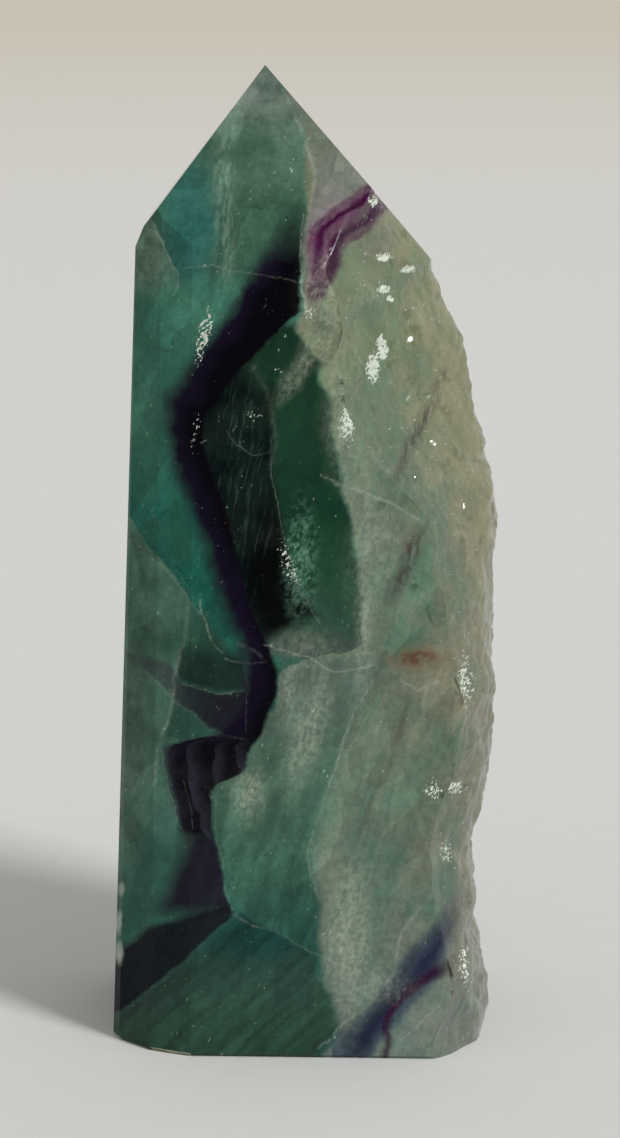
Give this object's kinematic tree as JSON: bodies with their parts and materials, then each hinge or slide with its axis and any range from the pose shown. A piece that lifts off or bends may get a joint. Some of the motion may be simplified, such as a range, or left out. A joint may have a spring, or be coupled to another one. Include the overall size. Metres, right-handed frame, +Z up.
{
  "type": "fluorite obelisk",
  "caption": "Standing point of banded green and purple fluorite, polished on the front, left and back, with natural rough skin down the right side.",
  "frame": {"origin": "middle of the stone's outline, on the surface it stands on", "axes": "+Z up to the tip, the broad polished front faces -Y, the natural skin is on the +X side"},
  "size_m": [0.0482, 0.0368, 0.12],
  "materials": {
    "fluorite": "translucent green fluorite with dark purple bands and milky veils, polished flats and a lumpy glassy natural skin"
  },
  "bodies": {
    "root": {"fluorite_obelisk": "fluorite"}
  },
  "joints": []
}
